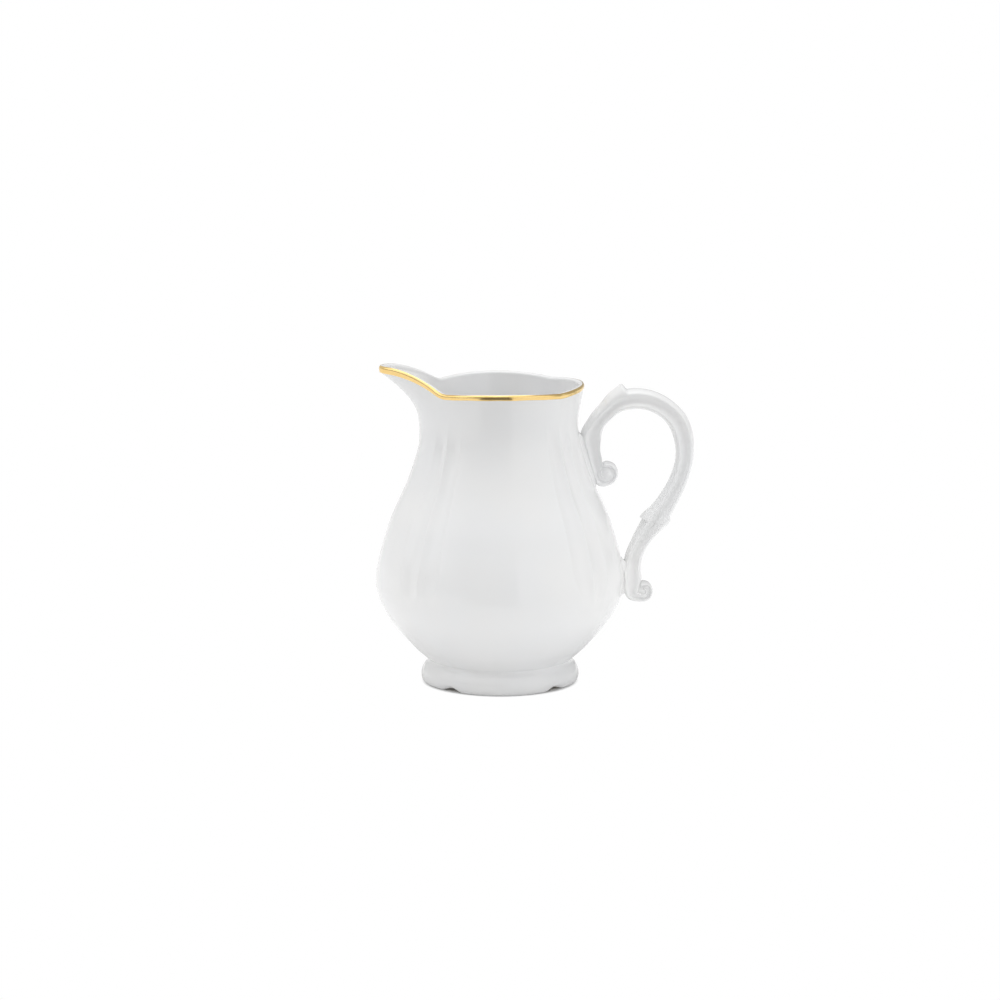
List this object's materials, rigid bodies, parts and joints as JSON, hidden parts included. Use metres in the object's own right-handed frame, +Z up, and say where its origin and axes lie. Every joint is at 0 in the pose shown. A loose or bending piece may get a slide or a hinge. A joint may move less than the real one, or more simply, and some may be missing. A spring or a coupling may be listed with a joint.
{
  "type": "cream jug",
  "caption": "Small porcelain cream jug with a fluted baluster body, raised pouring lip, scrolled side handle, scalloped foot and gilt rim line.",
  "frame": {"origin": "on the jug's axis, in the plane that it stands on", "axes": "+Z up along the jug's axis, +X towards the handle, so the lip points along -X, and +Y across the jug"},
  "size_m": [0.1032, 0.0804, 0.1041],
  "materials": {
    "porcelain": "clear glaze over white hard-paste porcelain",
    "slip": "slip under the same clear glaze",
    "biscuit": "unglazed, wiped and lightly sanded biscuit",
    "gilding": "bright fired gold line"
  },
  "bodies": {
    "root": {"body": "porcelain", "pouring_lip": "porcelain", "foot_ring": "porcelain", "standing_ring": "biscuit", "handle_bow": "porcelain", "handle_tail": "porcelain", "upper_scroll": "porcelain", "lower_scroll": "porcelain", "thumb_leaf": "porcelain", "knuckle_leaf": "porcelain", "upper_slip_joint": "slip", "lower_slip_joint": "slip", "gilt_line": "gilding"}
  },
  "joints": []
}
